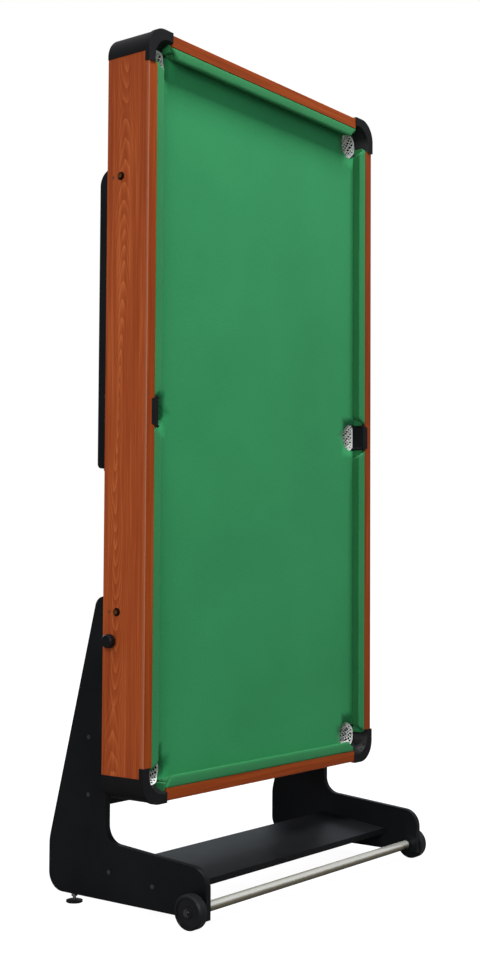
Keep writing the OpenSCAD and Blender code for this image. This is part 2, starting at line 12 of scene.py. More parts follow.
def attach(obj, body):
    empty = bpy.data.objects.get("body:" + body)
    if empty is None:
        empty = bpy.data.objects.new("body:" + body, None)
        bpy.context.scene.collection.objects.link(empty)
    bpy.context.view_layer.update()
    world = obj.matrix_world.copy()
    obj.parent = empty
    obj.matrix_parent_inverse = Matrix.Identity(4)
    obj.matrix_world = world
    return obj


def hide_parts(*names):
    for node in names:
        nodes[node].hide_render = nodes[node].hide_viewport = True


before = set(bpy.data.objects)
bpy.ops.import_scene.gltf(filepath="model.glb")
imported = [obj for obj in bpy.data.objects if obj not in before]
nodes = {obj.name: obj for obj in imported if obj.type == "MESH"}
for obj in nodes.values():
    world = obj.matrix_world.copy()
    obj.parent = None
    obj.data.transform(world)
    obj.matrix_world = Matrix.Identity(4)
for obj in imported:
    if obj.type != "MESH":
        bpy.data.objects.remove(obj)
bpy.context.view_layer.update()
scene = bpy.context.scene

# ---- places, in metres, in the row frame ----

# the table: the rails' front plane, the lower end over the floor, and the rails' outline
RIM_Y = -0.070
LIFT = 0.260
LENGTH = 1.830
HALF_W = 0.490
MID_S = LENGTH / 2
BED_DEPTH = 0.032

# across a rail, inward from its outer face
STRIP_W = 0.029
LINER_FACE = 0.041
FOOT_INSET = 0.047
NOSE_INSET = 0.057

# pocket holes in the bed
CORNER_X = 0.420
CORNER_S = 0.070
CORNER_R = 0.0385
SIDE_X = 0.430
SIDE_R = 0.0375

# cushion ends: where they start, how far they run on by the nose, and how far back by the bed
LONG_START = 0.076
LONG_SLOPE = 0.016
LONG_UNDERCUT = 0.013
END_START = 0.080
END_SLOPE = 0.024
END_UNDERCUT = 0.001
SIDE_GAP = 0.0345
SIDE_SLOPE = 0.016

# the pivot bolts and the stretcher tube
PIVOT_DEPTH = 0.087
PIVOTS_S = (0.443, 1.482)
TUBE_Z = 0.040
TUBE_R = 0.012


def at(x, d, s):
    """A point from across, depth behind the rails and distance from the lower end."""
    return Vector((x, RIM_Y + d, LIFT + s))


def both(*stems):
    """The names of the left and right pieces of each stem."""
    return [f"{stem}_{side}" for stem in stems for side in ("left", "right")]


# ---- camera ----

CAMERA_AT = (-2.9548, -2.2344, 0.8464)
CAMERA_YAW, CAMERA_PITCH, CAMERA_ROLL = 52.549, 2.618, 0.338
CAMERA_LENS = 51.97
CAMERA_SENSOR = 36


def make_camera():
    yaw, pitch, roll = (math.radians(a) for a in (CAMERA_YAW, CAMERA_PITCH, CAMERA_ROLL))
    ahead = Vector((math.sin(yaw), math.cos(yaw), 0))
    right = Vector((math.cos(yaw), -math.sin(yaw), 0))
    up = Vector((0, 0, 1))
    forward = ahead * math.cos(pitch) + up * math.sin(pitch)
    top = -ahead * math.sin(pitch) + up * math.cos(pitch)
    rolled_right = right * math.cos(roll) + top * math.sin(roll)
    rolled_up = -right * math.sin(roll) + top * math.cos(roll)
    data = bpy.data.cameras.new("camera")
    data.lens = CAMERA_LENS
    data.sensor_width = CAMERA_SENSOR
    data.sensor_fit = "AUTO"
    cam = bpy.data.objects.new("camera", data)
    place = Matrix((rolled_right, rolled_up, -forward)).transposed().to_4x4()
    place.translation = Vector(CAMERA_AT)
    cam.matrix_world = place
    scene.collection.objects.link(cam)
    scene.camera = cam


# ---- node material helpers ----


def srgb(r, g, b):
    """A linear colour from 0-255 display values."""
    def lin(c):
        c /= 255
        return c / 12.92 if c <= 0.04045 else ((c + 0.055) / 1.055) ** 2.4
    return (lin(r), lin(g), lin(b), 1)


def grey(v):
    return (v, v, v, 1)


def scaled(colour, factor):
    r, g, b, _ = colour
    return (r * factor, g * factor, b * factor, 1)


class Mat:
    """A node material under construction."""

    def __init__(self, name):
        self.mat = bpy.data.materials.new(name)
        self.mat.use_nodes = True
        self.tree = self.mat.node_tree
        self.bsdf = self.tree.nodes["Principled BSDF"]
        self.coord = self.add("ShaderNodeTexCoord").outputs["Object"]

    def add(self, kind, **sets):
        node = self.tree.nodes.new(kind)
        for key, value in sets.items():
            setattr(node, key, value)
        return node

    def put(self, socket, value):
        if isinstance(value, bpy.types.NodeSocket):
            self.tree.links.new(value, socket)
        else:
            socket.default_value = value

    def stretched(self, scale):
        """The object's coordinates, scaled along each axis."""
        node = self.add("ShaderNodeMapping")
        self.put(node.inputs["Vector"], self.coord)
        node.inputs["Scale"].default_value = scale
        return node.outputs["Vector"]

    def noise(self, vector, scale, detail, rough):
        node = self.add("ShaderNodeTexNoise")
        self.put(node.inputs["Vector"], vector)
        node.inputs["Scale"].default_value = scale
        node.inputs["Detail"].default_value = detail
        node.inputs["Roughness"].default_value = rough
        return node.outputs["Fac"]

    def math(self, op, a, b=0.0):
        node = self.add("ShaderNodeMath", operation=op)
        for socket, value in zip(node.inputs, (a, b)):
            self.put(socket, value)
        return node.outputs[0]

    def weigh(self, *terms):
        """The sum of each (value, weight)."""
        total = None
        for value, weight in terms:
            part = self.math("MULTIPLY", value, weight)
            total = part if total is None else self.math("ADD", total, part)
        return total

    def about(self, base, value, span):
        """base + value * span."""
        return self.math("ADD", base, self.math("MULTIPLY", value, span))

    def away(self, value, middle):
        """How far value is from middle."""
        return self.math("ABSOLUTE", self.math("SUBTRACT", value, middle))

    def split(self, vector):
        node = self.add("ShaderNodeSeparateXYZ")
        self.put(node.inputs[0], vector)
        return node.outputs

    def join(self, x, y, z):
        node = self.add("ShaderNodeCombineXYZ")
        for socket, value in zip(node.inputs, (x, y, z)):
            self.put(socket, value)
        return node.outputs[0]

    def ramp(self, fac, stops):
        node = self.add("ShaderNodeValToRGB")
        self.put(node.inputs[0], fac)
        elements = node.color_ramp.elements
        while len(elements) < len(stops):
            elements.new(0.5)
        for element, (pos, colour) in zip(elements, stops):
            element.position = pos
            element.color = colour
        return node.outputs["Color"]

    def mix(self, fac, a, b):
        node = self.add("ShaderNodeMix", data_type="RGBA", blend_type="MIX")
        self.put(node.inputs["Factor"], fac)
        colours = [s for s in node.inputs if s.type == "RGBA"]
        self.put(colours[0], a)
        self.put(colours[1], b)
        return [s for s in node.outputs if s.type == "RGBA"][0]

    def bump(self, height, strength, distance):
        node = self.add("ShaderNodeBump")
        node.inputs["Strength"].default_value = strength
        node.inputs["Distance"].default_value = distance
        self.put(node.inputs["Height"], height)
        return node.outputs[0]

    def finish(self, **values):
        for key, value in values.items():
            self.put(self.bsdf.inputs[key.replace("_", " ")], value)
        return self.mat


# ---- materials ----

# printed cherry, light to dark, on the aprons and on the rail strips
CHERRY = (srgb(206, 108, 56), srgb(178, 82, 36), srgb(146, 60, 25))
CHERRY_STRIP = (srgb(166, 78, 28), srgb(146, 62, 14), srgb(118, 44, 8))
CHERRY_STOPS = (0.34, 0.48, 0.66)
# the inner faces' dark backing, which also serves as painted shade inside the table
INNER_BACKING_SHADE = srgb(34, 26, 22)
# a painted highlight: the paler line where the rail strips' rounded outer arris catches light
EDGE_HIGHLIGHT = srgb(196, 124, 92)

# the arches: their heart line's place behind the rim and its wander, one arch's start, length
# and taper, and the rings. Only the aprons are near enough to the line to show them.
HEART_DEPTH = 0.082
HEART_WANDER = 0.09
ARCH_START = 0.23
ARCH_LENGTH = 0.71
ARCH_TAPER = 0.085
RINGS_PER_M = 280.0
RING_DRIFT = 5.0
ARCH_FADE = 26.0


def grain_arches(m, w, u, v, offset):
    """Nested arches, 0 to 1, that fade out away from a wandering heart line."""
    drift = m.noise(m.join(u, m.math("MULTIPLY", w, 0.12), v), scale=16.0, detail=3, rough=0.5)
    sway = m.noise(m.join(0.0, w, m.math("MULTIPLY", v, 3.0)), scale=1.6, detail=2, rough=0.5)
    wander = m.math("MULTIPLY", m.math("SUBTRACT", sway, 0.5), HEART_WANDER)
    from_heart = m.math("SUBTRACT", u, m.math("ADD", wander, RIM_Y + HEART_DEPTH + offset))
    along = m.math("PINGPONG", m.math("ADD", w, ARCH_START + offset), ARCH_LENGTH)
    taper = m.math("MULTIPLY", along, ARCH_TAPER)
    square = m.math("ADD", m.math("MULTIPLY", from_heart, from_heart), m.math("MULTIPLY", taper, taper))
    rings = m.weigh((m.math("SQRT", square), RINGS_PER_M), (drift, RING_DRIFT))
    line = m.math("POWER", m.math("FRACT", rings), 2.0)
    far = m.math("ABSOLUTE", m.math("MULTIPLY", from_heart, ARCH_FADE))
    near = m.math("MAXIMUM", 0.0, m.math("SUBTRACT", 1.0, far))
    return m.math("MULTIPLY", line, near)


def wood_laminate(name, along, across, tones, offset=0.0, shown=None, edge=None):
    """Printed cherry grain: long fibres under faint arched lines.

    shown is (axis, middle, reach): the print shows beyond reach of middle, and the inner faces
    are a dark backing that is also painted shade. edge is the same for a painted highlight line along an
    arris.
    """
    m = Mat(name)
    axes = dict(zip("XYZ", m.split(m.coord)))
    w, u = axes[along], axes[across]
    v = [axes[a] for a in "XYZ" if a not in (along, across)][0]

    def drawn_out(squeeze, scale, detail, rough):
        return m.noise(m.join(u, m.math("MULTIPLY", w, squeeze), v), scale, detail, rough)

    def beyond(zone):
        axis, middle, reach = zone
        return m.math("GREATER_THAN", m.away(axes[axis], middle), reach)

    tone = m.weigh(
        (drawn_out(0.012, scale=620.0, detail=3, rough=0.6), 0.30),
        (drawn_out(0.02, scale=130.0, detail=3, rough=0.6), 0.42),
        (drawn_out(0.06, scale=24.0, detail=2, rough=0.5), 0.28),
        (grain_arches(m, w, u, v, offset), -0.18),
    )
    colour = m.ramp(tone, list(zip(CHERRY_STOPS, tones)))
    # painted highlight: a paler line along the arris
    if edge:
        colour = m.mix(m.mix(beyond(edge), grey(0.0), grey(0.55)), colour, EDGE_HIGHLIGHT)
    # inner faces: a dark backing that is also painted shade
    if shown:
        colour = m.mix(beyond(shown), INNER_BACKING_SHADE, colour)
    pores = drawn_out(0.03, scale=900.0, detail=2, rough=0.6)
    return m.finish(
        Base_Color=colour, Roughness=m.about(0.36, pores, 0.14),
        Normal=m.bump(pores, 0.12, 0.0003), Specular_IOR_Level=0.2,
    )


THREADS = 6200.0


def playing_cloth(name, base, deep):
    """Napped green wool blend: fine weave under short fuzz, with slow tone changes."""
    m = Mat(name)
    fuzz = m.noise(m.coord, scale=1500.0, detail=3, rough=0.7)
    mottled = m.noise(m.coord, scale=260.0, detail=4, rough=0.6)
    slow = m.noise(m.coord, scale=3.2, detail=3, rough=0.5)
    colour = m.ramp(m.weigh((fuzz, 0.30), (mottled, 0.40), (slow, 0.30)), [(0.30, deep), (0.70, base)])
    x, y, z = m.split(m.coord)
    warp = m.math("SINE", m.math("MULTIPLY", x, THREADS))
    weft = m.math("SINE", m.math("MULTIPLY", m.math("ADD", z, y), THREADS))
    weave = m.math("MULTIPLY", warp, weft)
    height = m.weigh((fuzz, 0.8), (weave, 0.12), (mottled, 0.2))
    return m.finish(
        Base_Color=colour, Roughness=0.93, Normal=m.bump(height, 0.3, 0.0006), Specular_IOR_Level=0.12,
        Sheen_Weight=0.12, Sheen_Roughness=0.55, Sheen_Tint=(0.35, 0.75, 0.5, 1),
    )


def moulded_plastic(name, base, rough, grain=1400.0, depth=0.25):
    """Injection-moulded plastic with a fine spark texture and slight tone drift."""
    m = Mat(name)
    fine = m.noise(m.coord, grain, detail=2, rough=0.6)
    slow = m.noise(m.coord, scale=22.0, detail=3, rough=0.5)
    return m.finish(
        Base_Color=m.ramp(slow, [(0.3, scaled(base, 0.8)), (0.7, scaled(base, 1.2))]),
        Roughness=m.about(rough - 0.06, slow, 0.12),
        Normal=m.bump(fine, depth, 0.0004), Specular_IOR_Level=0.2,
    )


def black_laminate(name):
    """Black melamine board with a faint pebbled print."""
    m = Mat(name)
    pebble = m.noise(m.coord, scale=700.0, detail=2, rough=0.5)
    slow = m.noise(m.coord, scale=6.0, detail=3, rough=0.6)
    return m.finish(
        Base_Color=m.ramp(slow, [(0.3, srgb(13, 15, 17)), (0.7, srgb(21, 23, 25))]),
        Roughness=m.about(0.34, slow, 0.12),
        Normal=m.bump(pebble, 0.18, 0.0004), Specular_IOR_Level=0.18,
    )


def metal(name, base, rough):
    """Plated steel with fine marks in its gloss and a faint stain."""
    m = Mat(name)
    marks = m.noise(m.coord, scale=300.0, detail=3, rough=0.6)
    stain = m.noise(m.coord, scale=35.0, detail=3, rough=0.5)
    return m.finish(
        Base_Color=m.ramp(stain, [(0.3, scaled(base, 0.88)), (0.7, base)]), Metallic=1.0,
        Roughness=m.about(rough, marks, 0.12), Normal=m.bump(marks, 0.05, 0.0002),
    )


def nickel_tube(name):
    """Satin nickel with painted shade toward the underside and a painted highlight band near the top.

    The colour goes by height over the tube, so it stays under any light.
    """
    m = Mat(name)
    z = m.split(m.coord)[2]
    height = m.math("MULTIPLY", m.math("SUBTRACT", z, TUBE_Z - TUBE_R), 0.5 / TUBE_R)
    stain = m.noise(m.coord, scale=60.0, detail=3, rough=0.5)
    level = m.math("ADD", height, m.math("MULTIPLY", m.math("SUBTRACT", stain, 0.5), 0.10))
    # painted shade: dark brown low on the tube; painted highlight: a near-white band near its top
    colour = m.ramp(level, [(0.10, (0.16, 0.14, 0.09, 1)), (0.54, (0.32, 0.28, 0.20, 1)),
                            (0.73, (0.98, 0.97, 0.92, 1)), (0.96, (0.66, 0.64, 0.58, 1))])
    marks = m.noise(m.stretched((0.03, 1, 1)), scale=420.0, detail=3, rough=0.6)
    return m.finish(
        Base_Color=colour, Metallic=0.6, Roughness=m.about(0.06, marks, 0.08),
        Normal=m.bump(marks, 0.05, 0.0002),
    )


def bolt_steel(name):
    """Browned steel bolt heads, with a painted brassy highlight toward each head's middle, by distance
    from the bolt's axis.
    """
    m = Mat(name)
    _, y, z = m.split(m.coord)
    dy = m.math("SUBTRACT", y, RIM_Y + PIVOT_DEPTH)
    square_y = m.math("MULTIPLY", dy, dy)
    reaches = []
    for s in PIVOTS_S:
        dz = m.math("SUBTRACT", z, LIFT + s)
        square = m.math("ADD", square_y, m.math("MULTIPLY", dz, dz))
        reaches.append(m.math("SQRT", square))
    reach = m.math("MINIMUM", *reaches)
    stain = m.noise(m.coord, scale=420.0, detail=3, rough=0.6)
    # painted highlight: lighter, brassy colour toward each head's middle, darker browned steel outward
    colour = m.ramp(
        m.weigh((reach, 100.0), (stain, 0.12)),
        [(0.26, srgb(150, 112, 62)), (0.46, srgb(118, 74, 36)),
         (0.74, srgb(52, 28, 18)), (1.0, srgb(34, 24, 20))])
    return m.finish(
        Base_Color=colour, Metallic=0.75, Roughness=m.about(0.34, stain, 0.14),
        Normal=m.bump(stain, 0.08, 0.0002),
    )


def raw_board(name):
    """Bare fibreboard: pale brown with fine flecks."""
    m = Mat(name)
    fleck = m.noise(m.coord, scale=900.0, detail=4, rough=0.7)
    cloud = m.noise(m.coord, scale=12.0, detail=3, rough=0.5)
    tone = m.weigh((fleck, 0.6), (cloud, 0.4))
    return m.finish(
        Base_Color=m.ramp(tone, [(0.3, srgb(128, 100, 68)), (0.7, srgb(170, 140, 102))]),
        Roughness=0.85, Normal=m.bump(fleck, 0.3, 0.0005), Specular_IOR_Level=0.25,
    )


def net_string(name):
    """Soft white twisted string."""
    m = Mat(name)
    twist = m.noise(m.coord, scale=2200.0, detail=2, rough=0.6)
    return m.finish(
        Base_Color=m.ramp(twist, [(0.3, srgb(246, 245, 241)), (0.7, srgb(254, 254, 252))]),
        Roughness=0.9, Normal=m.bump(twist, 0.5, 0.0005), Specular_IOR_Level=0.2,
        Sheen_Weight=0.6, Sheen_Roughness=0.6, Sheen_Tint=(1, 1, 1, 1),
    )


MATS = {}
PRINT_SKIN = 0.0006
# width of the painted highlight line on the rail strips' outer arris
HIGHLIGHT_LINE_W = 0.0014


def make_materials():
    across, middle = ("X", 0.0), ("Z", LIFT + MID_S)
    MATS.update(
        apron_side=wood_laminate(
            "apron_side", "Z", "Y", CHERRY, shown=(*across, HALF_W - PRINT_SKIN)),
        apron_end=wood_laminate(
            "apron_end", "X", "Y", CHERRY, 0.031, shown=(*middle, MID_S - PRINT_SKIN)),
        strip_side=wood_laminate(
            "strip_side", "Z", "X", CHERRY_STRIP, 0.17, edge=(*across, HALF_W - HIGHLIGHT_LINE_W)),
        strip_end=wood_laminate(
            "strip_end", "X", "Z", CHERRY_STRIP, 0.11, edge=(*middle, MID_S - HIGHLIGHT_LINE_W)),
        cloth=playing_cloth("cloth", srgb(52, 150, 92), srgb(36, 122, 72)),
        cushion=playing_cloth("cushion", srgb(54, 136, 82), srgb(38, 111, 66)),
        cap=moulded_plastic("cap", srgb(18, 18, 20), 0.52),
        foot=moulded_plastic("foot", srgb(20, 20, 21), 0.55),
        wheel=moulded_plastic("wheel", srgb(27, 28, 31), 0.42, grain=900.0, depth=0.15),
        rubber=moulded_plastic("rubber", srgb(24, 24, 26), 0.75, grain=700.0, depth=0.3),
        black=black_laminate("black"),
        tube=nickel_tube("tube"),
        hub_steel=metal("hub_steel", (0.15, 0.145, 0.14, 1), 0.22),
        zinc=metal("zinc", (0.60, 0.60, 0.61, 1), 0.30),
        dull_zinc=metal("dull_zinc", (0.24, 0.24, 0.25, 1), 0.38),
        dark_steel=metal("dark_steel", (0.08, 0.075, 0.075, 1), 0.34),
        screw_paint=moulded_plastic("screw_paint", srgb(132, 74, 46), 0.45),
        bolt=bolt_steel("bolt"),
        board=raw_board("board"),
        net=net_string("net"),
    )


# the CAD nodes that keep their shape, by the material they get
NODES_OF = {
    "apron_side": both("side_apron"),
    "apron_end": ["end_apron_lower", "end_apron_upper"],
    "strip_side": ["rail_strips_side"],
    "strip_end": ["rail_strips_end"],
    "cushion": ["cushion_liners"],
    "board": ["bed_board", "corner_blocks", "bed_braces", "leg_stops"],
    "black": ["leg_cross_board", "stand_cross_board", "shelf_board", *both("leg_plank", "stand_side")],
    "cap": ["tube_ferrules",
            *both("lock_knob", "side_pocket", "corner_cap_lower", "corner_cap_upper")],
    "wheel": both("wheel"),
    "foot": both("foot_pad"),
    "rubber": ["leg_glides", "stop_pads"],
    "tube": ["stretcher_tube"],
    "bolt": ["pivot_bolts"],
    "screw_paint": ["plate_screws"],
    "hub_steel": ["stand_screws", "wheel_bolts"],
    "dark_steel": ["leg_screws"],
    "dull_zinc": both("foot_stem"),
    "zinc": ["pivot_plates", "pivot_nuts", "lock_inserts", "foot_inserts", *both("lock_stud")],
}

# boards whose real edges are eased, by the radius of the easing
EASED = {
    0.0012: both("stand_side", "leg_plank"),
    0.001: ["shelf_board", "stand_cross_board", "leg_cross_board"],
}
EASED_ANGLE = 40
WELD_REACH = 0.00005


def dress_nodes():
    for key, names in NODES_OF.items():
        for name in names:
            slots = nodes[name].data.materials
            slots.clear()
            slots.append(MATS[key])
    for radius, names in EASED.items():
        for name in names:
            weld = nodes[name].modifiers.new("weld", "WELD")
            weld.merge_threshold = WELD_REACH
            bevel = nodes[name].modifiers.new("ease", "BEVEL")
            bevel.width = radius
            bevel.segments = 2
            bevel.limit_method = "ANGLE"
            bevel.angle_limit = math.radians(EASED_ANGLE)
            bevel.use_clamp_overlap = True


def add_object(name, mesh, material, body):
    mesh.materials.append(MATS[material])
    for p in mesh.polygons:
        p.use_smooth = True
    o = bpy.data.objects.new(name, mesh)
    scene.collection.objects.link(o)
    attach(o, body)
    return o


def span(bm, ring0, ring1):
    """Faces between two closed rings of vertices."""
    n = len(ring0)
    for k in range(n):
        bm.faces.new((ring0[k], ring0[(k + 1) % n], ring1[(k + 1) % n], ring1[k]))


def close_ends(bm, rings):
    bm.faces.new(list(reversed(rings[0])))
    bm.faces.new(rings[-1])


# ---- cushions ----

# points (inset, depth) round a cushion's section, with a rolled nose and back edge
CUSHION_SECTION = [
    (STRIP_W + 0.0002, 0.0060), (STRIP_W + 0.0002, 0.0028), (STRIP_W + 0.0010, 0.0014),
    (STRIP_W + 0.0026, 0.0007), (STRIP_W + 0.0060, 0.0003), (0.0420, 0.0001),
    (0.0490, 0.0003), (0.0530, 0.0008), (0.0552, 0.0017), (0.0566, 0.0030),
    (0.0570, 0.0046), (0.0566, 0.0062), (0.0556, 0.0078), (0.0534, 0.0130),
    (0.0508, 0.0200), (0.0482, 0.0270), (FOOT_INSET - 0.0003, BED_DEPTH - 0.0012),
    (FOOT_INSET - 0.0012, BED_DEPTH), (LINER_FACE, BED_DEPTH), (LINER_FACE, 0.0060),
]
END_ROLL = 0.006
END_STEPS = [0, 0.0004, 0.0012, 0.0024, 0.0040, END_ROLL]
RING_STEP = 0.012

# waves in the stretched cover: height, radians per metre, and how often the phase counts
WAVES = ((0.00018, 38, 1), (0.0001, 91, 2))
NOSE_DEPTH = 0.02

# how much of a wave shows: how soon it is full, its share below the nose and its share in depth
WAVE_FULL, WAVE_BELOW, WAVE_DEEP = 1.6, 0.4, 0.6


def shrink(points, amount):
    """The section pulled in by amount along its vertices' normals."""
    n = len(points)
    out = []
    for i, (a, d) in enumerate(points):
        pa, pd = points[i - 1]
        na, nd = points[(i + 1) % n]
        t = Vector((na - pa, nd - pd)).normalized()
        out.append((a + t.y * -amount, d + t.x * amount))
    return out


def make_cushion(name, node, place, start, stop, slope0, slope1, undercut):
    """A bar from start to stop whose ends run on by the slopes toward the nose.

    Behind the nose the ends are cut back by undercut at the bed.
    """
    length = stop - start
    count = max(8, int(length / RING_STEP))
    steps = END_STEPS + [END_ROLL + (length - 2 * END_ROLL) * i / count for i in range(1, count)]
    steps += [length - e for e in reversed(END_STEPS)]
    phase = random.Random(name).random() * 6
    bm = bmesh.new()
    rings = []
    for t in steps:
        e = min(t, length - t)
        rolled_in = 0.0 if e >= END_ROLL else END_ROLL - math.sqrt(END_ROLL ** 2 - (END_ROLL - e) ** 2)
        ring = []
        for a, d in shrink(CUSHION_SECTION, rolled_in):
            k = (a - STRIP_W) / (NOSE_INSET - STRIP_W)
            under = undercut * max(0.0, d) / BED_DEPTH
            z0 = start + slope0 * k + under
            z1 = stop - slope1 * k - under
            z = z0 + (z1 - z0) * t / length
            wave = sum(high * math.sin(z * rate + times * phase) for high, rate, times in WAVES)
            loose = max(0.0, min(1.0, k * WAVE_FULL)) * (1.0 if d < NOSE_DEPTH else WAVE_BELOW)
            deep = max(0.0, d + wave * WAVE_DEEP * loose)
            ring.append(bm.verts.new(place(a + wave * loose, deep, z)))
        rings.append(ring)
    for ring0, ring1 in zip(rings, rings[1:]):
        span(bm, ring0, ring1)
    close_ends(bm, rings)
    bmesh.ops.recalc_face_normals(bm, faces=bm.faces)
    bmesh.ops.triangulate(bm, faces=[f for f in bm.faces if len(f.verts) > 4])
    mesh = bpy.data.meshes.new(name)
    bm.to_mesh(mesh)
    bm.free()
    o = add_object(name, mesh, "cushion", "table")
    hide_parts(node)


def make_cushions():
    for side, sx in (("left", -1), ("right", 1)):
        def lower(a, d, z, sx=sx):
            return at(sx * (HALF_W - a), d, z)

        def upper(a, d, z, sx=sx):
            return at(sx * (HALF_W - a), d, LENGTH - z)
        for end, place in (("lower", lower), ("upper", upper)):
            make_cushion(f"cushion_cover_{side}_{end}", f"cushion_{side}_{end}", place,
                         LONG_START, MID_S - SIDE_GAP, LONG_SLOPE, SIDE_SLOPE, LONG_UNDERCUT)
    x1 = HALF_W - END_START
    make_cushion("cushion_cover_lower", "cushion_lower",
                 lambda a, d, z: at(z, d, a), -x1, x1, END_SLOPE, END_SLOPE, END_UNDERCUT)
    make_cushion("cushion_cover_upper", "cushion_upper",
                 lambda a, d, z: at(z, d, LENGTH - a), -x1, x1, END_SLOPE, END_SLOPE, END_UNDERCUT)


# ---- bed cloth ----

SHEET_HALF_W = 0.472
SHEET_END = 0.018
SLOT_RUN = 0.0246
NOTCH_STEPS = 26
EDGE_STEP = 0.03
GRID = (32, 60)
CDT_ALL_TRIANGLES = 0
CDT_MERGE = 1e-7

# grid points keep this far from a hole's middle, and off the strip outside a side hole
HOLE_CLEAR = 0.052
SIDE_CLEAR_X, SIDE_CLEAR_S = 0.44, 0.05

# how a cut edge rolls over the board: rows of (share of the lip, depth below the cloth)
CUT_LIP = 0.0004
CUT_ROLL = ((0.15, 0.0005), (0.6, 0.0016), (1.0, 0.0034), (1.0, 0.0090), (1.0, 0.0150))


def notch(x, s, r, toward, run):
    """A pocket's cut in the bed seen from the front: a slot's edge, an arc and its other edge.

    toward is the slot's direction in degrees and run the length of its straight edges.
    """
    a = math.radians(toward)
    out = Vector((math.cos(a), math.sin(a)))
    side = Vector((-out.y, out.x))
    c = Vector((x, s))
    line = [c - side * r + out * run * (1 - i / 3) for i in range(3)]
    arc = []
    for i in range(NOTCH_STEPS + 1):
        b = a - math.pi / 2 - math.pi * i / NOTCH_STEPS
        arc.append(c + Vector((math.cos(b), math.sin(b))) * r)
    back = [c + side * r + out * run * (i + 1) / 3 for i in range(3)]
    return line + arc + back


def sheet_cuts():
    """The six cuts in order round the sheet: up its right side, then down its left."""
    cuts = [
        notch(CORNER_X, CORNER_S, CORNER_R, -45, SLOT_RUN),
        notch(SIDE_X, MID_S, SIDE_R, 0, SHEET_HALF_W - SIDE_X),
        notch(CORNER_X, LENGTH - CORNER_S, CORNER_R, 45, SLOT_RUN),
    ]
    right = [c if c[0].y < c[-1].y else list(reversed(c)) for c in cuts]
    left = [[Vector((-p.x, p.y)) for p in reversed(c)] for c in reversed(right)]
    return right + left


def divide(outline):
    """The outline with its long edges divided, and each old point's place in it."""
    dense, where = [], []
    for p, q in zip(outline, outline[1:] + outline[:1]):
        where.append(len(dense))
        dense.append(p)
        parts = int((q - p).length / EDGE_STEP)
        dense.extend(p.lerp(q, k / parts) for k in range(1, parts))
    return dense, where


def grid_points():
    holes = [Vector(h) for h in ((CORNER_X, CORNER_S), (CORNER_X, LENGTH - CORNER_S), (SIDE_X, MID_S))]
    nx, ns = GRID
    s0, s1 = SHEET_END, LENGTH - SHEET_END
    points = []
    for i in range(1, nx):
        for j in range(1, ns):
            p = Vector((-SHEET_HALF_W + 2 * SHEET_HALF_W * i / nx, s0 + (s1 - s0) * j / ns))
            clear = all((Vector((abs(p.x), p.y)) - h).length > HOLE_CLEAR for h in holes)
            if clear and (abs(p.x) < SIDE_CLEAR_X or abs(p.y - MID_S) > SIDE_CLEAR_S):
                points.append(p)
    return points


def inside(c, outline):
    hit = False
    for a, b in zip(outline, outline[1:] + outline[:1]):
        if (a.y > c.y) != (b.y > c.y) and c.x < (b.x - a.x) * (c.y - a.y) / (b.y - a.y) + a.x:
            hit = not hit
    return hit


def roll_cut(bm, path, row):
    """Faces from a cut's edge, row, down over the board. path is the edge's flat points."""
    last = len(path) - 1
    normals = []
    for i in range(len(path)):
        t = (path[min(i + 1, last)] - path[max(i - 1, 0)]).normalized()
        normals.append(Vector((t.y, -t.x)))
    for share, down in CUT_ROLL:
        lower = []
        for p, normal in zip(path, normals):
            q = p + normal * CUT_LIP * share
            lower.append(bm.verts.new(at(q.x, BED_DEPTH + down, q.y)))
        for i in range(last):
            bm.faces.new((row[i], row[i + 1], lower[i + 1], lower[i]))
        row = lower


def make_bed_cloth():
    """One stretched sheet, cut for the pockets, its cut edges rolled down over the board."""
    cuts = sheet_cuts()
    dense, where = divide([p for cut in cuts for p in cut])
    edges = [(i, (i + 1) % len(dense)) for i in range(len(dense))]
    verts, _, faces, orig, _, _ = delaunay_2d_cdt(
        dense + grid_points(), edges, [], CDT_ALL_TRIANGLES, CDT_MERGE)
    bm = bmesh.new()
    made = [bm.verts.new(at(v.x, BED_DEPTH, v.y)) for v in verts]
    for f in faces:
        middle = sum((verts[i] for i in f), Vector((0, 0))) / len(f)
        if inside(middle, dense):
            bm.faces.new([made[i] for i in f])
    vert_of = {old: made[new] for new, olds in enumerate(orig) for old in olds}
    first = 0
    for cut in cuts:
        roll_cut(bm, cut, [vert_of[where[first + i]] for i in range(len(cut))])
        first += len(cut)
    bmesh.ops.recalc_face_normals(bm, faces=bm.faces)
    mesh = bpy.data.meshes.new("bed_cloth_sheet")
    bm.to_mesh(mesh)
    bm.free()
    o = add_object("bed_cloth_sheet", mesh, "cloth", "table")
    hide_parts("bed_cloth")


# ---- nets ----

STRANDS = 19
ROWS = 13
STRING_R = 0.0015
STRING_SIDES = 5
STEPS_A_ROW = 3
RIM_STEPS = 48
RIM_CORD_R = 0.0018
KNOT_R, KNOT_SPREAD = 0.0022, 0.0005
BOTTOM_KNOT_R = 0.0045

# the bag: its middle across, radius, and the depths of its top edge and bottom
SACK_X = 0.453 - 0.0325
SACK_R = 0.0308
NET_TOP, NET_TUCK, NET_BOTTOM = 0.0365, 0.0125, 0.108
SAG = 0.006

# shares of the way down: where the string hangs loose, where the bag has its own middle and
# radius, and where it starts to draw in to its bottom
LOOSE_FROM, BAG_FROM, DRAWN_FROM = 0.15, 0.30, 0.6
DRAWN_IN = 0.985

# the tuck inside the hole: how sharply it starts, how far out it lies, and the net's inset
TUCK_SHARP, TUCK_OUT = 1.6, 0.003
CORNER_INSET, SIDE_INSET = 0.0042, 0.0022
SACK_SHIFT = 0.004

# folds in the bag: how many, then the ranges of waves round it, waves down it, phase and height
FOLDS = 8
FOLDS_ROUND, FOLDS_DOWN, FOLD_PHASE, FOLD_HIGH = (3, 12), (5, 28), (0, 6.3), (0.0006, 0.0016)
FOLD_DEEP = 0.8

# how far out from the table's middle the string may reach, at a corner and at the side
CORNER_WALL, SIDE_WALL = 0.4512, 0.4465


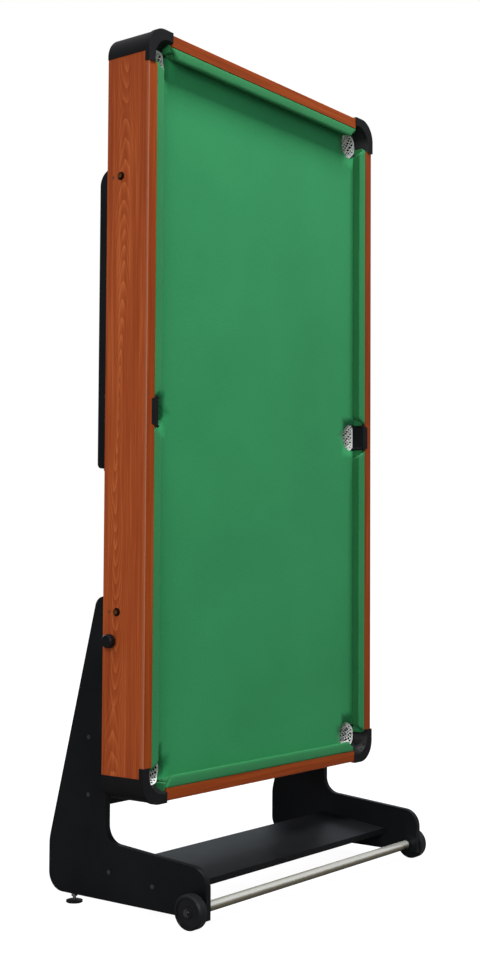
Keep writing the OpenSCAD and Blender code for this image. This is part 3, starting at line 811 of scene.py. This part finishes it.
def string_along(bm, points, radius):
    """A thin string through the points."""
    rings = []
    last = len(points) - 1
    reference = Vector((0.3, 0.5, 0.8))
    for i, p in enumerate(points):
        t = (points[min(i + 1, last)] - points[max(i - 1, 0)]).normalized()
        side = t.cross(reference)
        if side.length < 0.1:
            side = t.cross(Vector((1, 0, 0)))
        side.normalize()
        up = t.cross(side)
        turns = [2 * math.pi * k / STRING_SIDES for k in range(STRING_SIDES)]
        rings.append([bm.verts.new(p + (side * math.cos(a) + up * math.sin(a)) * radius) for a in turns])
    for ring0, ring1 in zip(rings, rings[1:]):
        span(bm, ring0, ring1)
    close_ends(bm, rings)


def knot(bm, p, radius):
    made = bmesh.ops.create_icosphere(bm, subdivisions=1, radius=radius)
    for v in made["verts"]:
        v.co = p + v.co


def make_net(name, node, x, s, r, sack_x, sack_s, outward, wall):
    """A knotted bag hung round a hole, crumpled, sagging with the table.

    It is tacked under the bed, and inside the hole on the side that faces outward, an angle in
    degrees. wall is how far out from the table's middle the string may reach.
    """
    rng = random.Random(name)
    facing = math.radians(outward)
    folds = [
        (rng.randint(*FOLDS_ROUND), rng.uniform(*FOLDS_DOWN),
         rng.uniform(*FOLD_PHASE), rng.uniform(*FOLD_HIGH))
        for _ in range(FOLDS)]

    def point(u, v):
        """u turns round the bag, v runs from its top edge (0) to the drawn bottom (1)."""
        ang = 2 * math.pi * u
        ease = min(1.0, v / BAG_FROM)
        cx = x + (sack_x - x) * ease
        cs = s + (sack_s - s) * ease
        rad = r + (SACK_R - r) * ease
        drawn = max(0.0, v - DRAWN_FROM) / (1 - DRAWN_FROM)
        rad *= math.sqrt(max(0.0, 1 - DRAWN_IN * drawn * drawn))
        tucked = min(1.0, max(0.0, 0.5 - TUCK_SHARP * math.cos(ang - facing)))
        rad += TUCK_OUT * tucked * (1 - ease)
        top = NET_TOP + NET_TUCK * tucked
        rounded = DRAWN_FROM + (1 - DRAWN_FROM) * math.sin(drawn * math.pi / 2)
        fall = v if v < DRAWN_FROM else rounded
        loose = min(1.0, v / LOOSE_FROM)
        crumple = sum(a * math.sin(n * ang + f * v + p) for n, f, p, a in folds) * loose
        px = cx + (rad + crumple) * math.cos(ang)
        ps = cs + (rad + crumple) * math.sin(ang) - SAG * v * v
        depth = top + (NET_BOTTOM - top) * fall + crumple * FOLD_DEEP
        return at(max(-wall, min(wall, px)), depth, ps)

    bm = bmesh.new()
    steps = ROWS * STEPS_A_ROW
    for k in range(STRANDS):
        for way in (1, -1):
            path = [point((k + way * i / steps * ROWS / 2) / STRANDS, i / steps) for i in range(steps + 1)]
            string_along(bm, path, STRING_R)
    for j in range(1, ROWS):
        for k in range(STRANDS):
            knot(bm, point((k + (j % 2) / 2) / STRANDS, j / ROWS), KNOT_R + KNOT_SPREAD * rng.random())
    string_along(bm, [point(i / RIM_STEPS, 0) for i in range(RIM_STEPS + 1)], RIM_CORD_R)
    knot(bm, point(0, 1), BOTTOM_KNOT_R)
    mesh = bpy.data.meshes.new(name)
    bm.to_mesh(mesh)
    bm.free()
    o = add_object(name, mesh, "net", "table")
    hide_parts(node)


def make_nets():
    corner_r, side_r = CORNER_R - CORNER_INSET, SIDE_R - SIDE_INSET
    for side, sx in (("left", -1), ("right", 1)):
        hole_x, sack_x = sx * CORNER_X, sx * SACK_X
        make_net(f"string_net_lower_{side}", f"net_lower_{side}", hole_x, CORNER_S, corner_r,
                 sack_x, CORNER_S + SACK_SHIFT, -90 + sx * 45, CORNER_WALL)
        make_net(f"string_net_upper_{side}", f"net_upper_{side}", hole_x, LENGTH - CORNER_S, corner_r,
                 sack_x, LENGTH - CORNER_S - SACK_SHIFT, 90 - sx * 45, CORNER_WALL)
        make_net(f"string_net_side_{side}", f"net_side_{side}", sx * SIDE_X, MID_S, side_r,
                 sack_x, MID_S, 90 - sx * 90, SIDE_WALL)


# ---- studio ----

ROOM_LOW, ROOM_HIGH = (0.17, 0.18, 0.19, 1), (0.56, 0.57, 0.58, 1)
FLOOR_HALF = 14
FLOOR_GLOW = 0.95

# name: place, target, size, power and colour
LIGHTS = {
    "key": ((0.1, -1.9, 6.3), (0, 0, 1.0), (2.2, 1.6), 372, (1, 1, 1)),
    "left_fill": ((-4.6, -2.6, 2.2), (0, 0, 1.0), (2.6, 2.2), 118, (1, 1, 1)),
    "back_soft": ((3.2, 2.2, 2.2), (0.2, 0, 0.1), (1.2, 0.8), 3.5, (0.70, 0.85, 1.0)),
    "rear_fill": ((1.6, 4.8, 3.4), (0.2, 0, 1.0), (2.0, 2.0), 110, (1, 1, 1)),
}


def make_room():
    """A dim room that lights and is reflected, and plain white where the camera sees past it."""
    world = bpy.data.worlds.new("studio")
    world.use_nodes = True
    tree = world.node_tree
    height = tree.nodes.new("ShaderNodeSeparateXYZ")
    tree.links.new(tree.nodes.new("ShaderNodeTexCoord").outputs["Generated"], height.inputs[0])
    sky = tree.nodes.new("ShaderNodeValToRGB")
    tree.links.new(height.outputs["Z"], sky.inputs[0])
    sky.color_ramp.elements[0].color = ROOM_LOW
    sky.color_ramp.elements[1].color = ROOM_HIGH
    room = tree.nodes["Background"]
    tree.links.new(sky.outputs[0], room.inputs["Color"])
    room.inputs["Strength"].default_value = 1.0
    seen = tree.nodes.new("ShaderNodeBackground")
    seen.inputs["Color"].default_value = grey(1)
    seen.inputs["Strength"].default_value = 1.0
    mixer = tree.nodes.new("ShaderNodeMixShader")
    path = tree.nodes.new("ShaderNodeLightPath")
    tree.links.new(path.outputs["Is Camera Ray"], mixer.inputs[0])
    tree.links.new(room.outputs[0], mixer.inputs[1])
    tree.links.new(seen.outputs[0], mixer.inputs[2])
    tree.links.new(mixer.outputs[0], tree.nodes["World Output"].inputs["Surface"])
    scene.world = world


def make_floor():
    """A floor that glows for the camera alone, so it shows white and doesn't light the table."""
    mesh = bpy.data.meshes.new("floor")
    h = FLOOR_HALF
    mesh.from_pydata([(-h, -h, 0), (h, -h, 0), (h, h, 0), (-h, h, 0)], [], [(0, 1, 2, 3)])
    floor = bpy.data.objects.new("floor", mesh)
    scene.collection.objects.link(floor)
    m = Mat("floor")
    cloud = m.noise(m.coord, scale=0.6, detail=2, rough=0.5)
    seen = m.add("ShaderNodeLightPath").outputs["Is Camera Ray"]
    m.finish(
        Base_Color=m.ramp(cloud, [(0.3, grey(0.14)), (0.7, grey(0.16))]), Roughness=0.8,
        Specular_IOR_Level=0.1, Emission_Color=grey(1),
        Emission_Strength=m.math("MULTIPLY", seen, FLOOR_GLOW),
    )
    mesh.materials.append(m.mat)


def make_lights():
    for name, (where, target, size, power, colour) in LIGHTS.items():
        data = bpy.data.lights.new(name, "AREA")
        data.shape = "RECTANGLE"
        data.size, data.size_y = size
        data.energy = power
        data.color = colour
        o = bpy.data.objects.new(name, data)
        o.location = where
        o.rotation_euler = (Vector(target) - Vector(where)).to_track_quat("-Z", "Y").to_euler()
        scene.collection.objects.link(o)


make_camera()
make_materials()
dress_nodes()
make_bed_cloth()
make_cushions()
make_nets()
make_room()
make_floor()
make_lights()
scene.view_settings.view_transform = "Standard"
scene.view_settings.look = "None"

bpy.context.view_layer.update()
